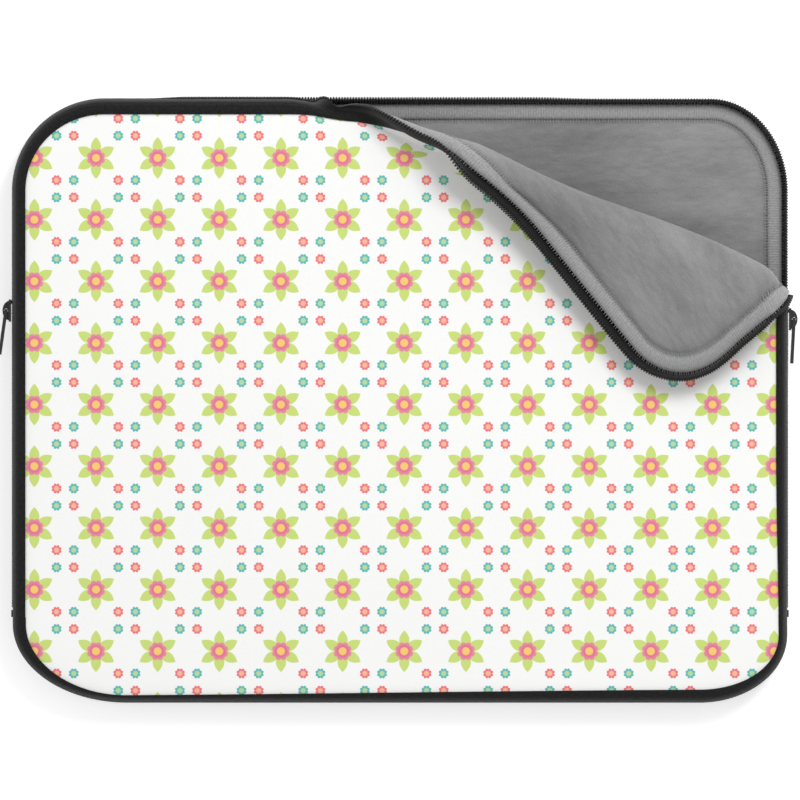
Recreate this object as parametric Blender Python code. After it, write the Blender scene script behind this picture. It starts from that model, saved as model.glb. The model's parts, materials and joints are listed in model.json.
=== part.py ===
"""Padded laptop sleeve, unzipped along the top, with the front panel's corner folded forward.

The sleeve lies on its back: +Z points out of the front, +Y towards the zip, and the origin is
the middle of the back face. Every piece is built closed and flat. The folded corner is then
turned up by its pivots, so the two shapes always agree.
"""
import math

import bmesh
import bpy
from mathutils import Vector

# Overall size, metres
WIDTH = 0.350
HEIGHT = 0.273
THICKNESS = 0.024
CORNER_STEPS = 8

# Corner radii along x and y, counter-clockwise from the lower right
CORNERS = (
    (1, -1, 0.040, 0.031),
    (1, 1, 0.035, 0.042),
    (-1, 1, 0.042, 0.042),
    (-1, -1, 0.052, 0.036),
)

# Panel layers: name, inset of the edge, and depth of the two faces below the panel's outside
SEAM_INSET = 0.0063
LAYERS = (
    ("outer_fabric", 0.0066, 0.0, 0.0009),
    ("foam", 0.0066, 0.0012, 0.0038),
    ("lining", 0.0030, 0.0041, 0.0050),
)
PANEL_MIDDLE = 0.0025

# Sections of what runs round the edge: points of (inset, depth)
BINDING = ((0.0032, 0.0053), (0.0090, 0.0053), (0.0088, 0.0059), (0.0061, 0.0062), (0.0034, 0.0059))
TAPE = (
    (SEAM_INSET, 0.0),
    (0.0020, 0.0016),
    (0.0005, 0.0103),
    (0.0014, 0.0103),
    (0.0027, 0.0023),
    (SEAM_INSET, 0.0009),
)
COIL = ((0.0002, 0.0106), (0.0002, 0.0113), (0.0020, 0.0113), (0.0020, 0.0106))

# Ends of the zip and of the bottom gusset
ZIP_END = -0.0977
COIL_END = -0.0937
GUSSET_START = -0.0980
STOP_LENGTH = 0.0035

# The fold: its direction, its roll and the way that the corner creeps along it
FOLD_ANGLE = math.radians(25.8)
FOLD_TURN = math.radians(95.0)
FOLD_CREEP = 0.009
ROLL_RADIUS = 0.008
ROLL_LENGTH = ROLL_RADIUS * FOLD_TURN
FIRST_HINGE = 0.1176
SECOND_HINGE = FIRST_HINGE + ROLL_LENGTH
HINGE_GAP = 0.0012
LIP_START = 0.0990
PIECE_GAP = 0.0003
LIP_END_X = 0.155
ROLL_END = 0.131
ROLL_TAPE_DEPTH = 0.0056
HELD_CORNER = (0.1635, 0.046)
ALONG = Vector((math.cos(FOLD_ANGLE), -math.sin(FOLD_ANGLE), 0.0))
ACROSS = Vector((math.sin(FOLD_ANGLE), math.cos(FOLD_ANGLE), 0.0))

# Sliders and pulls
SLIDER_Y = {"left": 0.0407, "right": 0.0368}
PULL_TILT = {"left": math.radians(8.0), "right": math.radians(-3.0)}
SLIDER_LENGTH = 0.010
SLIDER_WIDTH = 0.009
PLATE = 0.0010
PLATE_GAP = 0.0003
BRIDGE_HALF = 0.0044
BRIDGE_TOP = 0.0042
BRIDGE_WIDTH = 0.0020
EYE_OUT = 0.0026
EYE_RADIUS = 0.00095
PIN_RADIUS = 0.0006
EAR_WIDTH = 0.0010
PULL_LENGTH = 0.0200
PULL_THICKNESS = 0.0015
TAB_START = 0.0052

BIG = 0.6

# Colour, roughness and metallic of each material
FINISHES = {
    "print": ((0.93, 0.93, 0.90), 0.75, 0.0),
    "foam": ((0.80, 0.80, 0.78), 0.90, 0.0),
    "plush": ((0.36, 0.36, 0.37), 0.95, 0.0),
    "ribbon": ((0.55, 0.55, 0.56), 0.85, 0.0),
    "black_tape": ((0.02, 0.02, 0.022), 0.80, 0.0),
    "coil": ((0.015, 0.015, 0.017), 0.45, 0.0),
    "metal": ((0.10, 0.10, 0.105), 0.35, 1.0),
}


def clear_scene():
    """Remove whatever the scene holds."""
    for obj in list(bpy.data.objects):
        bpy.data.objects.remove(obj, do_unlink=True)


def new_collection(name):
    """Add a collection to the scene."""
    collection = bpy.data.collections.new(name)
    bpy.context.scene.collection.children.link(collection)
    return collection


def make_materials():
    """One Principled material for each finish."""
    made = {}
    for name, (colour, roughness, metallic) in FINISHES.items():
        material = bpy.data.materials.new(name)
        material.use_nodes = True
        shader = material.node_tree.nodes["Principled BSDF"]
        shader.inputs["Base Color"].default_value = (*colour, 1.0)
        shader.inputs["Roughness"].default_value = roughness
        shader.inputs["Metallic"].default_value = metallic
        made[name] = material
    return made


def outline(inset):
    """Corner points of the sleeve's outline, drawn in by inset."""
    points = []
    for index, (side_x, side_y, radius_x, radius_y) in enumerate(CORNERS):
        centre_x = side_x * (WIDTH / 2 - radius_x)
        centre_y = side_y * (HEIGHT / 2 - radius_y)
        for step in range(CORNER_STEPS + 1):
            angle = math.pi / 2 * (index - 1 + step / CORNER_STEPS)
            x = centre_x + (radius_x - inset) * math.cos(angle)
            y = centre_y + (radius_y - inset) * math.sin(angle)
            points.append((x, y))
    return points


def height(half, depth):
    """World height of a point that lies at a depth below one half's outer face."""
    if half == "back":
        return depth
    return THICKNESS - depth


def mesh_object(name, mesh, collection, material=None):
    """Link a mesh as a named object."""
    obj = bpy.data.objects.new(name, mesh)
    collection.objects.link(obj)
    if material:
        mesh.materials.append(material)
    return obj


def slab(name, inset, low, high, collection, material):
    """The outline drawn in by inset, as a plate between two heights."""
    flat = bpy.data.curves.new(name, "CURVE")
    flat.dimensions = "2D"
    flat.fill_mode = "BOTH"
    flat.extrude = (high - low) / 2
    spline = flat.splines.new("POLY")
    points = outline(inset)
    spline.points.add(len(points) - 1)
    for point, (x, y) in zip(spline.points, points):
        point.co = (x, y, 0.0, 1.0)
    spline.use_cyclic_u = True
    guide = bpy.data.objects.new(name, flat)
    collection.objects.link(guide)
    bpy.context.view_layer.update()
    mesh = bpy.data.meshes.new_from_object(guide.evaluated_get(bpy.context.evaluated_depsgraph_get()))
    bpy.data.objects.remove(guide, do_unlink=True)
    shape = bmesh.new()
    shape.from_mesh(mesh)
    bmesh.ops.remove_doubles(shape, verts=shape.verts, dist=0.00001)
    bmesh.ops.translate(shape, verts=shape.verts, vec=(0.0, 0.0, (low + high) / 2))
    shape.to_mesh(mesh)
    shape.free()
    mesh.materials.clear()
    return mesh_object(name, mesh, collection, material)


def edge_ring(name, section, half, collection, material):
    """Loft a section of (inset, depth) points right round the outline."""
    shape = bmesh.new()
    loops = []
    for inset, depth in section:
        level = height(half, depth)
        loops.append([shape.verts.new((x, y, level)) for x, y in outline(inset)])
    count = len(loops[0])
    for here, there in zip(loops, loops[1:] + loops[:1]):
        for index in range(count):
            after = (index + 1) % count
            shape.faces.new((here[index], here[after], there[after], there[index]))
    bmesh.ops.recalc_face_normals(shape, faces=shape.faces)
    mesh = bpy.data.meshes.new(name)
    shape.to_mesh(mesh)
    shape.free()
    return mesh_object(name, mesh, collection, material)


def box(name, low, high, collection, material=None):
    """A box between two corners."""
    shape = bmesh.new()
    bmesh.ops.create_cube(shape, size=1.0)
    low = Vector(low)
    high = Vector(high)
    bmesh.ops.scale(shape, verts=shape.verts, vec=high - low)
    bmesh.ops.translate(shape, verts=shape.verts, vec=(low + high) / 2)
    mesh = bpy.data.meshes.new(name)
    shape.to_mesh(mesh)
    shape.free()
    return mesh_object(name, mesh, collection, material)


def as_cutter(obj):
    """Mark an object as a guide that is never part of the sleeve."""
    obj.hide_render = True
    obj.display_type = "WIRE"
    return obj


def cutter_box(name, low, high):
    """A cutting box in the sleeve's axes."""
    return as_cutter(box(name, low, high, CUTTERS))


def fold_box(name, across_from, across_to, along_from=-BIG, along_to=BIG):
    """A cutting box whose sides run along and across the fold."""
    cutter = cutter_box(name, (along_from, across_from, -BIG), (along_to, across_to, BIG))
    cutter.rotation_euler[2] = -FOLD_ANGLE
    return cutter


def boolean(obj, cutter, operation):
    """Cut, join or trim an object with another, and keep the result as its mesh."""
    bpy.context.view_layer.update()
    step = obj.modifiers.new("cut", "BOOLEAN")
    step.operation = operation
    step.solver = "EXACT"
    step.object = cutter
    bpy.context.view_layer.update()
    result = bpy.data.meshes.new_from_object(obj.evaluated_get(bpy.context.evaluated_depsgraph_get()))
    obj.modifiers.clear()
    old = obj.data
    obj.data = result
    result.name = obj.name
    bpy.data.meshes.remove(old)
    return obj


def copy_as(obj, name):
    """A separate copy of an object under a new name."""
    copy = bpy.data.objects.new(name, obj.data.copy())
    PARTS.objects.link(copy)
    return copy


def join(base, *others):
    """Union other objects into the first one."""
    for other in others:
        boolean(base, other, "UNION")
        bpy.data.objects.remove(other, do_unlink=True)
    return base


def attach(obj, parent):
    """Parent an object where it stands."""
    bpy.context.view_layer.update()
    obj.parent = parent
    obj.matrix_parent_inverse = parent.matrix_world.inverted()


def pivot(name, point, parent=None):
    """An empty on a joint's axis."""
    empty = bpy.data.objects.new(name, None)
    PARTS.objects.link(empty)
    empty.location = point
    empty.empty_display_size = 0.01
    if parent:
        attach(empty, parent)
    return empty


def make_half(half):
    """The layers, binding, tape and coil of one half, closed all the way round."""
    pieces = {}
    finishes = {"outer_fabric": "print", "foam": "foam", "lining": "plush"}
    for name, inset, outer, inner in LAYERS:
        levels = sorted((height(half, outer), height(half, inner)))
        pieces[name] = slab(f"{half}_{name}", inset, *levels, PARTS, MATERIALS[finishes[name]])
    for name, section, finish in (("binding", BINDING, "ribbon"), ("zip_tape", TAPE, "black_tape"),
                                  ("zip_coil", COIL, "coil")):
        pieces[name] = edge_ring(f"{half}_{name}", section, half, PARTS, MATERIALS[finish])
    return pieces


def end_zip(pieces):
    """Stop the tape and the coil above the bottom gusset."""
    for name, end in (("zip_tape", ZIP_END), ("zip_coil", COIL_END)):
        cutter = cutter_box(f"below_{name}", (-BIG, -BIG, -BIG), (BIG, end, BIG))
        boolean(pieces[name], cutter, "DIFFERENCE")


def hinge_height():
    """Height of the fold's hinge axes, which keeps the roll's length when it opens flat."""
    cosine = math.cos(FOLD_TURN)
    sine = math.sin(FOLD_TURN)
    rise = (1 - cosine) / 2 - sine * (FOLD_TURN - sine) / (2 * (1 - cosine))
    return THICKNESS - PANEL_MIDDLE + ROLL_RADIUS * rise


def fold_front(pieces):
    """Divide the front half at the fold. The roll's tape is creased flat, so its deep side is left off."""
    lip_cut = fold_box("lip_region", LIP_START + PIECE_GAP, FIRST_HINGE - HINGE_GAP)
    lip_side = cutter_box("lip_side", (LIP_END_X, -BIG, -BIG), (BIG, BIG, BIG))
    boolean(lip_cut, lip_side, "DIFFERENCE")
    roll_cut = fold_box("roll_region", FIRST_HINGE + HINGE_GAP, SECOND_HINGE - HINGE_GAP, -BIG, ROLL_END)
    flap_cut = fold_box("flap_region", SECOND_HINGE + HINGE_GAP, BIG)
    crossing = cutter_box("top_crossing", (0.08, -BIG, -BIG), (BIG, BIG, BIG))
    deep = cutter_box("deep_side", (-BIG, -BIG, -BIG), (BIG, BIG, THICKNESS - ROLL_TAPE_DEPTH))
    strips = {"lip": [], "roll": [], "flap": []}
    for strip, cutter in (("lip", lip_cut), ("roll", roll_cut), ("flap", flap_cut)):
        for name, whole in pieces.items():
            if strip == "roll" and name == "zip_coil":
                continue
            part = boolean(copy_as(whole, f"{strip}_{name}"), cutter, "INTERSECT")
            if strip != "flap" and name in ("binding", "zip_tape", "zip_coil"):
                boolean(part, crossing, "DIFFERENCE")
            if strip == "roll" and name == "zip_tape":
                boolean(part, deep, "DIFFERENCE")
            strips[strip].append(part)
    turned_away = fold_box("turned_away", LIP_START, BIG)
    held = cutter_box("held_corner", (HELD_CORNER[0], -BIG, -BIG * 1.1), (BIG, HELD_CORNER[1], BIG * 1.1))
    boolean(turned_away, held, "DIFFERENCE")
    for whole in pieces.values():
        boolean(whole, turned_away, "DIFFERENCE")
    return strips


def split_sides(pieces):
    """The front half's tape and coil stay with the sleeve as a left and a right stretch."""
    for name in ("zip_tape", "zip_coil"):
        whole = pieces.pop(name)
        for side, sign in (("left", -1), ("right", 1)):
            part = copy_as(whole, f"{whole.name}_{side}")
            low, high = sorted((0.1 * sign, BIG * sign))
            keep = cutter_box(f"{side}_{name}", (low, -BIG, -BIG), (high, BIG, BIG))
            if side == "left":
                keep.location[0] += 0.14
            boolean(part, keep, "INTERSECT")
        bpy.data.objects.remove(whole, do_unlink=True)


def turn_corner(strips):
    """Parent the strips to their pivots and turn them up into the roll."""
    level = hinge_height()
    middle = ALONG * 0.06
    first = middle + ACROSS * FIRST_HINGE + Vector((0.0, 0.0, level))
    second = middle + ACROSS * SECOND_HINGE + Vector((0.0, 0.0, level))
    lip_pivot = pivot("lip_pivot", first)
    roll_pivot = pivot("roll_pivot", first, lip_pivot)
    flap_pivot = pivot("flap_pivot", second, roll_pivot)
    for strip, parent in (("lip", lip_pivot), ("roll", roll_pivot), ("flap", flap_pivot)):
        for part in strips[strip]:
            attach(part, parent)
    lip_pivot.location += ALONG * FOLD_CREEP
    for turning in (roll_pivot, flap_pivot):
        turning.rotation_mode = "AXIS_ANGLE"
        turning.rotation_axis_angle = (FOLD_TURN, *ALONG)


def make_gusset():
    """The black strip that joins the two halves round the bottom."""
    lower = list(TAPE[:2])
    lower.append((0.0005, 0.0070))
    upper = [(inset, THICKNESS - depth) for inset, depth in reversed(lower)]
    outer = lower + upper
    inner = [(inset + 0.0009, depth) for inset, depth in (outer[3], outer[2])]
    top_shoulder = (TAPE[4][0], THICKNESS - TAPE[4][1])
    section = outer + [(SEAM_INSET, THICKNESS - TAPE[5][1]), top_shoulder] + inner + [TAPE[4], TAPE[5]]
    gusset = edge_ring("bottom_gusset", section, "back", PARTS, MATERIALS["black_tape"])
    below = cutter_box("gusset_region", (-BIG, -BIG, -BIG), (BIG, GUSSET_START, BIG))
    boolean(gusset, below, "INTERSECT")


def make_stop(side, sign):
    """The block that closes the zip's lower end."""
    edge = sign * WIDTH / 2
    inner, outer = sorted((edge - sign * 0.0022, edge + sign * 0.0002))
    middle = THICKNESS / 2
    low = (inner, ZIP_END + PIECE_GAP, middle - 0.0013)
    high = (outer, ZIP_END + PIECE_GAP + STOP_LENGTH - 0.0003, middle + 0.0013)
    box(f"zip_stop_{side}", low, high, PARTS, MATERIALS["metal"])


def edge_box(name, sign, out_from, out_to, y_low, y_high, half_width):
    """A box measured outwards from the sleeve's side edge."""
    edge = WIDTH / 2
    low_x, high_x = sorted((sign * (edge + out_from), sign * (edge + out_to)))
    middle = THICKNESS / 2
    low = (low_x, y_low, middle - half_width)
    high = (high_x, y_high, middle + half_width)
    return box(name, low, high, PARTS, MATERIALS["metal"])


def upright(name, radius, x, y, half_width, collection, sides=16):
    """A round bar along Z."""
    shape = bmesh.new()
    bmesh.ops.create_cone(shape, cap_ends=True, segments=sides, radius1=radius, radius2=radius,
                          depth=2 * half_width)
    bmesh.ops.translate(shape, verts=shape.verts, vec=(x, y, THICKNESS / 2))
    mesh = bpy.data.meshes.new(name)
    shape.to_mesh(mesh)
    shape.free()
    return mesh_object(name, mesh, collection, MATERIALS["metal"])


def make_slider(side, sign):
    """Two plates, the post that parts the coils, and the bridge that holds the pull."""
    y = SLIDER_Y[side]
    low, high = y - SLIDER_LENGTH / 2, y + SLIDER_LENGTH / 2
    outer = PLATE_GAP + PLATE
    slider = edge_box(f"slider_{side}", sign, PLATE_GAP, outer, low, high, SLIDER_WIDTH / 2)
    inner_plate = edge_box("inner_plate", sign, -0.0034, -0.0024, low, high, SLIDER_WIDTH / 2)
    post = edge_box("post", sign, -0.0030, PLATE_GAP + PLATE / 2, high - 0.0020, high - 0.0003, 0.0004)
    bridge = upright("bridge", BRIDGE_HALF, 0.0, 0.0, BRIDGE_WIDTH / 2, PARTS, 24)
    bridge.scale[0] = (BRIDGE_TOP - outer + 0.0003) / BRIDGE_HALF
    bridge.location = (sign * (WIDTH / 2 + outer - 0.0003), y, 0.0)
    eye = as_cutter(upright(f"eye_{side}", EYE_RADIUS, sign * (WIDTH / 2 + EYE_OUT), y, 0.01, CUTTERS))
    outward = (sign * (WIDTH / 2 + outer - 0.0005), sign * (WIDTH / 2 + BIG))
    near = cutter_box(f"outside_{side}", (min(outward), -BIG, -BIG), (max(outward), BIG, BIG))
    boolean(bridge, near, "INTERSECT")
    boolean(bridge, eye, "DIFFERENCE")
    return join(slider, inner_plate, post, bridge)


def make_pull(side, sign):
    """Two ears and a pin through the bridge's eye, and the flat tab below them."""
    x = sign * (WIDTH / 2 + EYE_OUT)
    y = SLIDER_Y[side]
    middle = THICKNESS / 2
    half_inner = BRIDGE_WIDTH / 2 + PIECE_GAP
    half_outer = half_inner + EAR_WIDTH
    half = PULL_THICKNESS / 2
    pull = box(f"pull_{side}", (x - half, y - PULL_LENGTH, middle - half_outer),
               (x + half, y - TAB_START, middle + half_outer), PARTS, MATERIALS["metal"])
    ears = []
    for name, sense in (("ear_low", -1), ("ear_high", 1)):
        levels = sorted((middle + sense * half_inner, middle + sense * half_outer))
        ears.append(box(name, (x - half, y - TAB_START - 0.001, levels[0]),
                        (x + half, y + half, levels[1]), PARTS))
    pin = upright("pin", PIN_RADIUS, x, y, half_outer - 0.0002, PARTS)
    join(pull, *ears, pin)
    turning = pivot(f"pull_{side}_pivot", (x, y, middle))
    attach(pull, turning)
    turning.rotation_euler[2] = sign * PULL_TILT[side]
    return turning


def make_sliders():
    """A slider and its pull at each side of the sleeve."""
    for side, sign in (("left", -1), ("right", 1)):
        run = pivot(f"slider_{side}_run", (sign * WIDTH / 2, SLIDER_Y[side], THICKNESS / 2))
        attach(make_slider(side, sign), run)
        attach(make_pull(side, sign), run)
        make_stop(side, sign)


def round_off():
    """Shade the pieces smoothly up to their sharp edges."""
    for obj in PARTS.objects:
        if obj.type == "MESH":
            obj.data.shade_smooth()
            obj.data.set_sharp_from_angle(angle=math.radians(35))


clear_scene()
PARTS = new_collection("laptop_sleeve")
CUTTERS = new_collection("cutters")
MATERIALS = make_materials()

end_zip(make_half("back"))
FRONT = make_half("front")
end_zip(FRONT)
STRIPS = fold_front(FRONT)
split_sides(FRONT)
turn_corner(STRIPS)
make_gusset()
make_sliders()
round_off()
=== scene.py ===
"""Looks of the padded laptop sleeve: printed cover, plush lining, bindings, zip and sliders.

Every soft surface is laid out closed and flat in the sleeve's own frame, given its cloth
coordinates there, and then carried round the fold. The same fold is cut into stretches; the
stretches between the two CAD bodies stay where they lie, on neither body.
"""
import json
import math

import bpy
import numpy as np
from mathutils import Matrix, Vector
from mathutils.geometry import delaunay_2d_cdt


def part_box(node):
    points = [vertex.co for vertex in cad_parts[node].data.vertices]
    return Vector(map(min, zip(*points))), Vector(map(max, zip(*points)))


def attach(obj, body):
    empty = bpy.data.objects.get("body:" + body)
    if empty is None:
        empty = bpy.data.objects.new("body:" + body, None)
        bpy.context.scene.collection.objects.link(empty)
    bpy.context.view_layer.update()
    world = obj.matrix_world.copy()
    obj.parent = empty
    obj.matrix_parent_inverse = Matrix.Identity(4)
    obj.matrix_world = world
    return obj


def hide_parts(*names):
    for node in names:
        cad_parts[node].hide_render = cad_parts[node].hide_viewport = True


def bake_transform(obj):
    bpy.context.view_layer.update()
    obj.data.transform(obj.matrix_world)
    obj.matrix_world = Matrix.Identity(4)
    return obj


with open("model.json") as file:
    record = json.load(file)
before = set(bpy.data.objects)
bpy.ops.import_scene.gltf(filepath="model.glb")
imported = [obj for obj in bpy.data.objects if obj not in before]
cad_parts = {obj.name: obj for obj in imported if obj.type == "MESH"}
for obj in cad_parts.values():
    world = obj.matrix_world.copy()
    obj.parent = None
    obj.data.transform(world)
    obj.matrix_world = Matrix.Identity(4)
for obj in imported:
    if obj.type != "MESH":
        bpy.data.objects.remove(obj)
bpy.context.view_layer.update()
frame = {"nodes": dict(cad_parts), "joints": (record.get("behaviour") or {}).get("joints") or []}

# Sizes read from the frame
BACK_LOW, BACK_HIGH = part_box("back_zip_coil")
WIDTH = BACK_HIGH.x - BACK_LOW.x + 0.0004
HALF_HEIGHT = BACK_HIGH.y + 0.0002
THICKNESS = 0.024
CORNERS = (
    (1, -1, 0.040, 0.031),
    (1, 1, 0.035, 0.042),
    (-1, 1, 0.042, 0.042),
    (-1, -1, 0.052, 0.036),
)
JOINTS = {joint["name"]: joint for joint in frame["joints"]}
OPENING = Vector(JOINTS["fold_open"]["axis"])
ALONG = np.array((-OPENING.x, -OPENING.y, 0.0))
ACROSS = np.array((OPENING.y, -OPENING.x, 0.0))
TURN = math.radians(JOINTS["fold_open"]["range_deg"][1])
CREEP = 0.009
ROLL_RADIUS = 0.008
BEND = ROLL_RADIUS * TURN
FIRST_HINGE = float(np.dot(JOINTS["fold_open"]["pos_m"], ACROSS))
BEND_START = FIRST_HINGE - BEND / 2
BEND_MIDDLE = BEND_START + BEND
BEND_END = BEND_MIDDLE + BEND
CREEP_START = 0.0990
SLIP = (0.1005, 0.1065)

# How high a layer has risen where it starts and ends each half turn of the roll
OUTER_RISES = ((0.0018, 0.0082), (0.0090, 0.0134))
MIDDLE_RISES = ((0.0005, 0.0082), (0.0090, 0.0155))
INNER_RISES = ((-0.0037, 0.0082), (0.0090, 0.0196))
RISES = {"foam_core": MIDDLE_RISES, "plush": INNER_RISES, "ribbon": INNER_RISES, "thread": INNER_RISES}
SHEET_MIDDLE = THICKNESS - 0.0025

# Where the fold meets the right slider, the sheet stays on the sleeve
RIGHT_LIMIT = 0.1785
HOLD_X = (0.135, 0.033)
HOLD_Y = (0.038, 0.023)

# How the roll and the flap settle; a pair called span, from, until or to is (start, length)
FLAP_SHIFT = (0.0035, 0.0030)
FLAP_TIP = (0.0055, 0.0025)
FOLD_SAG = 0.0030
ROLL_TIGHTER = 0.18
TIGHT_UNTIL = (-0.060, 0.030)
ROLL_EARLIER = 0.002
EARLY_UNTIL = (-0.060, 0.050)
CREEP_SPAN = (-0.070, 0.070)
CREASE_IN = (BEND_START - 0.006, 0.012)
CREASE_OUT = (BEND_END - 0.002, 0.010)
PRESSED_BELOW = 0.004
PRESS_LEFT = 0.3
PRESS_MORE = 0.55
PRESS_SPAN = (0.02, 0.08)
PRESS_OUTSIDE = 0.45
BLUNT = 0.004
WAVE_ENDS = (-0.034, 0.130)
WAVE_TOP = 0.003
WAVE_HALF = 0.105
WAVE_SIZE = 0.0036
ROLL_SHIFT = -0.0002
ROLL_DROP = 0.0055
DROP_SPAN = (0.120, 0.022)
FLAP_EASE = 0.030
FREE_UNTIL = (0.080, 0.070)
TIP_ACROSS = (0.155, 0.040)
TIP_ALONG = (0.010, 0.060)
SAG_FROM = (-0.108, 0.030)
SAG_TO = (-0.048, 0.034)
SAG_ACROSS = (0.094, 0.013)
SAG_LATER = 0.010
SAG_LATER_SPAN = (-0.090, 0.035)

# Where the sheet is cut into stretches, by its turn round the roll
BEND_FROM = math.radians(20)
HIGH_FROM = math.radians(50)
HIGH_SURELY = math.radians(165)
FLAP_FROM = math.radians(110)
FLAP_SURELY = math.radians(178)
CUT_MARGIN = 0.0002
WIDE_ROLL = 0.95

# The edge's sections: points of (inset, depth), in metres
TAPE_OUTER = (
    (0.0066, -0.00025), (0.0050, -0.0001), (0.0034, 0.00035), (0.0021, 0.0014), (0.0012, 0.0032),
    (0.0007, 0.0058), (0.0005, 0.0083), (0.0005, 0.0103),
)
TAPE_INNER = (
    (0.0013, 0.0103), (0.0014, 0.0083), (0.0016, 0.0060), (0.0021, 0.0041), (0.0029, 0.0028),
    (0.0042, 0.0018), (0.0066, 0.0009),
)
BINDING = (
    (0.0026, 0.0046), (0.0030, 0.0056), (0.0044, 0.0061), (0.0062, 0.0062), (0.0080, 0.0060),
    (0.0090, 0.0055), (0.0094, 0.0050), (0.0090, 0.0048), (0.0062, 0.0048), (0.0030, 0.0044),
)
BAND_TOP = 0.0075
BAND_LEFT = 0.0064
BAND_RIGHT = (0.0044, 0.0057)
BAND_RIGHT_SPAN = (-0.12, 0.10)
BAND_BOTTOM = (0.0038, 0.0064)
TAPE_REACH = 0.0066
TAPE_FIXED = 0.0021
PRINT_TUCK = 0.0006
LEAN_PIVOT = (0.0021, 0.0014)
LEAN_STEPS = (
    (math.radians(100), -0.094, 0.016),
    (math.radians(50), -0.080, 0.020),
    (math.radians(60), -0.044, 0.026),
)
LEAN_TIP = math.radians(3)
LEAN_TIP_LENGTH = 0.010
LEAN_ABOVE = (0.05, 0.02)
LEAN_LEFT_OF = 0.168
LEAN_FADE = 0.045
LEAN_BLEND = 0.003
TAPE_PRESS = 0.85
GATHER = 0.95
GATHER_LESS = 0.35
GATHER_SPAN = (-0.088, 0.014)
PRINT_RINGS = (0.0, 0.0008, 0.0018, 0.0032, 0.0050, 0.0075)
PLUSH_RINGS = (0.0, 0.0028, 0.0048, 0.0058, 0.0066, 0.0074, 0.0086, 0.0102, 0.0122, 0.0145)
WAVES = (
    (41.0, 17.0, 0.4), (-23.0, 52.0, 1.9), (74.0, -38.0, 3.1), (15.0, 88.0, 5.0), (-96.0, -61.0, 0.9),
)
SEAM_DIP = 0.0007
SEAM_REACH = 0.0022
PLUSH_AT_SEAM = 0.0050
PLUSH_DROP = 0.0018
PLUSH_SPAN = (0.0062, 0.0075)
GROOVE_DEPTH = 0.0011
GROOVE_AT = 0.0066
GROOVE_HALF = 0.0011
FOAM_DEPTH = 0.0024
FOAM_EDGE = 0.0004
FOAM_EDGE_REACH = 0.003
FOAM_THICKNESS = 0.0016
RAIL_STEP = 0.0015
SHEET_STEP = 0.0030
COARSE_STEP = 0.0055
LATTICE_ALONG = (-0.16, 0.17, 0.0032)
LATTICE_STEP = 0.0014
INNER_RING = 0.03
SWELL_EASE = 0.012
STITCH_PITCH = 0.0013
GUSSET_WALL = 0.0004
GUSSET_TOP = -0.0960
TAPE_BOTTOM = -0.0979
TEETH_OUT = 0.0007
TEETH_TOP = (0.115, 0.015)
TEETH_FROM = (-0.115, 0.02)
TEETH_TO = (0.06, 0.03)
COIL_AT = (0.0012, 0.0108)
COIL_SIZE = (0.0010, 0.00062)
COIL_PITCH = 0.00127
ZIP_BOTTOM = -0.0937
METAL_PARTS = ("slider_left", "slider_right", "pull_left", "pull_right", "zip_stop_left", "zip_stop_right")
TILE = 0.02775
FLOWER = (-0.16457, 0.10934)

# The studio
LAMPS = (
    ("key", (0.55, 0.75, 1.3), 0.6, 13.0),
    ("fill", (-0.9, -0.3, 1.4), 1.2, 4.0),
)
LAMP_TARGET = Vector((0.05, 0.0, 0.0))
FLOOR_GLOW = 0.45
SKY = 0.50
LENS = 800.0
SENSOR = 36.0
VIEW_WIDTH = 0.3604


def smooth(value):
    """Ease from 0 to 1."""
    value = np.clip(value, 0.0, 1.0)
    return value * value * (3.0 - 2.0 * value)


def ramped(value, span):
    """Ease from 0 to 1 over a span of (start, length)."""
    return smooth((value - span[0]) / span[1])


# ---------------------------------------------------------------- outline and fold

def rail(spacing):
    """Points round the outline, the inward step at each, and the length run so far."""
    base = []
    inward = []
    for index, (side_x, side_y, radius_x, radius_y) in enumerate(CORNERS):
        centre = (side_x * (WIDTH / 2 - radius_x), side_y * (HALF_HEIGHT - radius_y))
        steps = max(6, int(math.pi / 2 * (radius_x + radius_y) / 2 / spacing))
        for step in range(steps + 1):
            angle = math.pi / 2 * (index - 1 + step / steps)
            away = np.array((math.cos(angle), math.sin(angle)))
            base.append(np.array(centre) + away * (radius_x, radius_y))
            inward.append(-away)
        after = CORNERS[(index + 1) % 4]
        target_angle = math.pi / 2 * index
        away = np.array((math.cos(target_angle), math.sin(target_angle)))
        start = base[-1]
        end = np.array((after[0] * (WIDTH / 2 - after[2]), after[1] * (HALF_HEIGHT - after[3])))
        end = end + away * (after[2], after[3])
        count = int(np.linalg.norm(end - start) / spacing)
        for step in range(1, count):
            base.append(start + (end - start) * step / count)
            inward.append(-away)
    base = np.array(base)
    inward = np.array(inward)
    steps = np.linalg.norm(np.diff(base, axis=0, append=base[:1]), axis=1)
    run = np.concatenate(([0.0], np.cumsum(steps)))
    return base, inward, run


def along_rail(lengths):
    """The outline's points and inward steps at given lengths round it."""
    base, inward, run = rail(RAIL_STEP)
    base = np.vstack((base, base[:1]))
    inward = np.vstack((inward, inward[:1]))
    at = np.mod(lengths, run[-1])
    points = np.stack([np.interp(at, run, base[:, axis]) for axis in (0, 1)], axis=1)
    steps = np.stack([np.interp(at, run, inward[:, axis]) for axis in (0, 1)], axis=1)
    return points, steps


def level(half, depth):
    """Height of what lies at a depth below one half's outer face."""
    depth = np.asarray(depth, float)
    return depth if half == "back" else THICKNESS - depth


def band_width(points, inward):
    """How wide the black band shows on the front, at points of the outline."""
    beside = inward[:, 0] ** 2
    lower = BAND_BOTTOM[0] + (BAND_BOTTOM[1] - BAND_BOTTOM[0]) * smooth(points[:, 0] / WIDTH + 0.5)
    ends = np.where(points[:, 1] > 0, BAND_TOP, lower)
    right = BAND_RIGHT[0] + (BAND_RIGHT[1] - BAND_RIGHT[0]) * ramped(points[:, 1], BAND_RIGHT_SPAN)
    sides = np.where(points[:, 0] > 0, right, BAND_LEFT)
    return beside * sides + (1 - beside) * ends


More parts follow.
